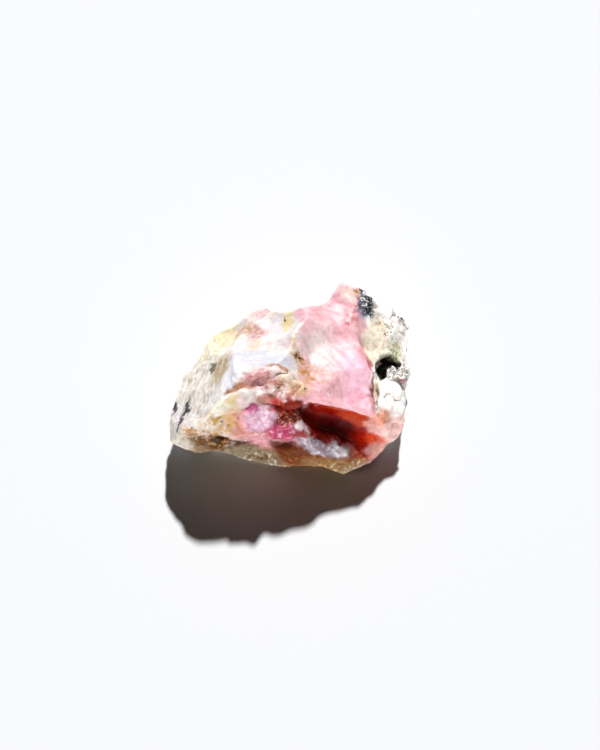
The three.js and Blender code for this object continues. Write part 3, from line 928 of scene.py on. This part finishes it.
fibre_place = node(
    tree, "ShaderNodeMapping", {"Vector": ragged, "Rotation": FIBRE_TURN, "Scale": FIBRE_SCALE}
).outputs[0]
threads = noise_on(fibre_place, 1)["Fac"]
left_side = mask_of(*FIBROUS_SIDE)
pale_threads = product(left_side, between(tree, threads, 0.52, 0.62), PALE_SHARE)
olive_threads = product(left_side, between(tree, threads, 0.46, 0.36), OLIVE_SHARE)
colour = painted(colour, pale_threads, linear("EDE9E4"))
colour = painted(colour, olive_threads, linear("A09678"))
print("threads:", [round(1 / side, 1) for side in FIBRE_SCALE], "mm")

# %% [markdown]
# ## Dark flecks
# A few black and brown flecks are scattered over the stone, and two long streaks mark the left side. They
# are minerals that sit on the skin, so they come last, over all the stains, and they are small enough to
# be placed one by one.

# %% Set the flecks
SPOTS = [
    # name, middle, radii, colour, turn
    ("long dark streak", (-21.5, -8.2, 10.8), (0.42, 2.9, 1.6), "1C2428", (0, 0, -17)),
    ("its tail", (-22.6, -12.0, 11.5), (0.3, 2.4, 1.4), "2E3438", (0, 0, -17)),
    ("streak on the edge", (-24.2, -7.6, 7.8), (0.45, 1.8, 1.6), "20282E", (0, 0, -10)),
    ("fleck at the far end of the vein", (-1.3, 10.9, 12.7), (0.35, 0.7, 0.8), "5A4024", (0, 0, 20)),
    ("fleck in the knot", (0.7, 0.0, 17.8), (0.5, 0.55, 0.8), "3A200E", LEVEL),
    ("second fleck in the knot", (1.7, -0.6, 17.4), (0.4, 0.45, 0.8), "3A200E", LEVEL),
    ("fleck by the peak", (13.5, 17.1, 12.6), (0.5, 0.45, 0.8), "A88C4C", LEVEL),
    ("fleck on the step", (-3.1, -8.4, 20.4), (0.28, 0.3, 0.6), "2C0E10", LEVEL),
    ("fleck under the vein", (2.9, -8.3, 19.3), (0.35, 0.4, 0.7), "3C3A20", LEVEL),
    ("fleck on the slope", (-14.5, -13.6, 16.0), (0.3, 0.4, 0.5), "2C2418", LEVEL),
    ("fleck by the tip", (-20.0, -14.2, 14.4), (0.25, 0.4, 0.5), "3C4038", LEVEL),
    ("fleck on the ridge", (-14.8, -9.8, 18.6), (0.2, 0.3, 0.5), "4C5048", LEVEL),
]
SPOT_SOFTNESS = 0.6
SPOT_SHARE = 0.95
SPOT_GRAINS = (0.5, 1.0, 0.15)

for _, middle, radii, tint, turn in SPOTS:
    colour = stained(colour, middle, radii, SPOT_SOFTNESS, tint, SPOT_SHARE, SPOT_GRAINS, turn)
print("flecks:", len(SPOTS))

# %% [markdown]
# ## Edges, dips and cracks
# The mesh carries two attributes that were measured on it: how far each point stands out, and how deep it
# lies in a crack. They paint a glow on the edges and shade in the dips, and darken the cracks. The painted
# glow on the edges is multiplied by a little more than 1 and not mixed with white, because a thin edge of
# red opal glows red.

# %% Work the relief into the colour
PAINTED_EDGE_GLOW = (1.16, 1.15, 1.15, 1)
PAINTED_DIP_SHADE_SHARE = 0.5
CRACK_SHARE = 0.92

relief_mask = node(tree, "ShaderNodeAttribute", attribute_name="relief").outputs["Fac"]
crack_mask = node(tree, "ShaderNodeAttribute", attribute_name="crack").outputs["Fac"]
# The edges get a painted glow and the dips get painted shade.
painted_glow_on_edges = between(tree, relief_mask, 0.6, 0.95)
painted_shade_in_dips = between(tree, relief_mask, 0.4, 0.1, 0, PAINTED_DIP_SHADE_SHARE)
cracks = between(tree, crack_mask, 0.15, 0.7, 0, CRACK_SHARE)
colour = painted(colour, painted_glow_on_edges, PAINTED_EDGE_GLOW, "MULTIPLY")
colour = painted(colour, painted_shade_in_dips, linear("B88A74"), "MULTIPLY")
colour = painted(colour, cracks, linear("2A120C"))
print("attributes:", [name for name in stone.data.attributes.keys() if name in ("relief", "crack")])

# %% [markdown]
# ## A grain in the tone
# Even one stain is never one flat colour. Instead of a second set of colours, a fine noise makes the
# stone a little darker or lighter here and there, the same for red, green and blue, so no hue is changed.

# %% Vary the tone
TONE_SIZE = 0.9
DARKEST_TONE = 0.8
LIGHTEST_TONE = 1.02

tones = noise_on(place, TONE_SIZE, detail=5.0, roughness=0.65)["Fac"]
tone = between(tree, tones, 0.3, 0.7, DARKEST_TONE, LIGHTEST_TONE)
grey = node(tree, "ShaderNodeCombineColor", {0: tone, 1: tone, 2: tone}).outputs[0]
colour = painted(colour, 1.0, grey, "MULTIPLY")
tree.links.new(colour, opal_surface["Base Color"])
print("nodes in the material:", len(tree.nodes))

# %% [markdown]
# ## Gloss
# Broken opal shines like glass, its crumbly parts are duller and the host rock is as dull as chalk. One
# roughness for all would turn the stone into plastic or into plaster. So masks of the same places choose
# between three values, and the lumps, which are the cleanest breaks, get a thin clear coat as well.

# %% Set the gloss
OPAL_ROUGHNESS = 0.42
GLASSY_ROUGHNESS = 0.28
ROCK_ROUGHNESS = 0.9
ROUGHNESS_SPREAD = 0.3  # the noise adds half of this at most, or takes it away
COAT_ROUGHNESS = 0.12
LUMPS_COAT = 0.5
GLASSY_EDGE = 0.4  # how soft the border of the lumps and of the hollow is

rock_mask = mask_of(*HOST_ROCK, soft=ROCK_EDGE)
lumps_mask = mask_of((-4.5, -13.5, 15), (7.5, 4, 5.5), LEVEL, GLASSY_EDGE)
hollow_mask = mask_of((7.2, -11.2, 9.0), (13, 4, 6.2), SLANT, GLASSY_EDGE)
glassy = maths(tree, "MAXIMUM", lumps_mask, hollow_mask)
rough = between(tree, glassy, 0, 1, OPAL_ROUGHNESS, GLASSY_ROUGHNESS)
rough = node(tree, "ShaderNodeMix", {0: rock_mask, 2: rough, 3: ROCK_ROUGHNESS}).outputs[0]
uneven = maths(tree, "MULTIPLY_ADD", tones, ROUGHNESS_SPREAD, -ROUGHNESS_SPREAD / 2)
tree.links.new(maths(tree, "ADD", rough, uneven), opal_surface["Roughness"])
tree.links.new(product(lumps_mask, LUMPS_COAT), opal_surface["Coat Weight"])
opal_surface["Coat Roughness"].default_value = COAT_ROUGHNESS
print("roughness from", GLASSY_ROUGHNESS, "in the hollow to", ROCK_ROUGHNESS, "on the rock")

# %% [markdown]
# ## The finest grain
# The smallest chips that the grid can carry are half a millimetre wide. What is finer only has to catch
# the light, so a bump is enough for it. It is weaker on the opal than on the rock.

# %% Set the grain
GRAIN_SIZE = 0.35
GRAIN_HEIGHT = 0.12 * MM
GRAIN_STRENGTH = 0.5
GRAIN_ON_OPAL = 0.45  # how much of its height is left there

grain = noise_on(place, GRAIN_SIZE, detail=4.0, roughness=0.7)["Fac"]
relief_height = product(grain, between(tree, rock_mask, 0, 1, GRAIN_ON_OPAL, 1))
bump = node(
    tree,
    "ShaderNodeBump",
    {"Height": relief_height, "Strength": GRAIN_STRENGTH, "Distance": GRAIN_HEIGHT},
)
tree.links.new(bump.outputs["Normal"], opal_surface["Normal"])
print("grain:", GRAIN_SIZE, "mm")

# %% [markdown]
# ## Light inside the stone
# Opal is cloudy silica with a low refractive index, and light wanders about in it before it comes out,
# redder than it went in. Glass with a volume would show that best and render slowest. Subsurface
# scattering over a millimetre or so softens the shadows in the same way.

# %% Set the depth of the stone
DEPTH = {
    "IOR": 1.4,
    "Subsurface Weight": 0.35,
    "Subsurface Radius": (1.0, 0.65, 0.55),  # red light goes the farthest
    "Subsurface Scale": 1.5 * MM,
}

for socket, value in DEPTH.items():
    opal_surface[socket].default_value = value
stone.data.materials.append(opal)
print("stone has", [slot.name for slot in stone.material_slots])

# %% [markdown]
# ## The camera
# The stone lies on a table and is looked at steeply from the front, as one looks at something to judge
# it. A short lens close by would swell the nearest corner. A longer lens from over thirty centimetres
# keeps the stone's proportions.

# %% Camera
ELEVATION = math.radians(65)
DISTANCE = 364.1 * MM
LENS = 85  # millimetres
SENSOR_WIDTH = 36  # millimetres
NEAREST = 10 * MM  # nothing closer to the camera is drawn
AIM = Vector((1.57, -0.34, -2.4)) * MM  # from the middle of the stone to what the camera looks at

target = (cad_box[0] + cad_box[1]) / 2 + AIM
towards_camera = Vector((0, -math.cos(ELEVATION), math.sin(ELEVATION)))
camera_data = bpy.data.cameras.new("camera")
camera_data.lens = LENS
camera_data.sensor_width = SENSOR_WIDTH
camera_data.clip_start = NEAREST
camera = added("camera", camera_data)
camera.location = target + towards_camera * DISTANCE
camera.rotation_euler = towards_camera.to_track_quat("Z", "Y").to_euler()
bpy.context.scene.camera = camera
print("camera at", [round(x / MM) for x in camera.location], "mm")

# %% [markdown]
# ## The floor
# The stone lies on a plain pale table that runs out of sight. It is a stage and not a part of the object,
# so it is one large square, with a finish that is dull enough to show no reflection of the stone.

# %% Floor
FLOOR_HALF = 2.0  # metres
FLOOR_COLOUR = (0.86, 0.87, 0.885, 1)
FLOOR_ROUGHNESS = 0.8

floor_shape = bmesh.new()
bmesh.ops.create_grid(floor_shape, x_segments=1, y_segments=1, size=FLOOR_HALF)
floor = added("floor", mesh_from(floor_shape, "floor"))
floor_finish, floor_surface = new_material("pale floor")
floor_surface["Base Color"].default_value = FLOOR_COLOUR
floor_surface["Roughness"].default_value = FLOOR_ROUGHNESS
floor.data.materials.append(floor_finish)
print("floor:", 2 * FLOOR_HALF, "m wide")

# %% [markdown]
# ## The light
# Hard sunlight comes over the stone from behind, so that its shadow falls towards the viewer and the
# table is nearly white. The front would be black without a second, softer light from the viewer's side.
# Light linking gives the stone and the table a sun each, from the same direction, so that each can have
# its own strength. The two soft lamps make no highlights, which would be as broad as they are.

# %% A lamp from its direction


def lamp(name, azimuth, elevation, spread, strength):
    """A far-off lamp. Azimuth 0 shines from behind the stone towards the viewer."""
    data = bpy.data.lights.new(name, "SUN")
    data.energy = strength
    data.angle = math.radians(spread)
    made = added(name, data)
    a, e = math.radians(azimuth), math.radians(elevation)
    towards = Vector((math.sin(a) * math.cos(e), math.cos(a) * math.cos(e), math.sin(e)))
    made.rotation_euler = towards.to_track_quat("Z", "Y").to_euler()
    print(f"{name}: from azimuth {azimuth}, elevation {elevation}")
    return made


# %% Light
SUN = {"azimuth": 8, "elevation": 42, "spread": 3}

key = lamp("key", **SUN, strength=4.4)
floor_key = lamp("key on the floor", **SUN, strength=5.0)
fill = lamp("front fill", azimuth=186, elevation=16, spread=40, strength=3.2)
top = lamp("soft sky", azimuth=270, elevation=62, spread=140, strength=0.9)
for soft_lamp in (fill, top):
    soft_lamp.visible_glossy = False
for receiver, lamps in ((stone, (key, fill, top)), (floor, (floor_key,))):
    lit = bpy.data.collections.new("what lights the " + receiver.name)
    lit.objects.link(receiver)
    for shining in lamps:
        shining.light_linking.receiver_collection = lit

# %% [markdown]
# ## The surroundings
# The little light that comes from all around keeps the deepest shadows from going black. It is warm,
# because it has bounced off the table and the stone. The plain view transform shows the colours as they
# were chosen.

# %% World and view
AROUND_COLOUR = (1, 0.98, 0.88, 1)
AROUND_STRENGTH = 0.02

world = bpy.data.worlds.new("studio")
world.use_nodes = True
background = world.node_tree.nodes["Background"]
background.inputs["Color"].default_value = AROUND_COLOUR
background.inputs["Strength"].default_value = AROUND_STRENGTH
bpy.context.scene.world = world
bpy.context.scene.view_settings.view_transform = "Standard"
print("light from all around:", AROUND_STRENGTH)
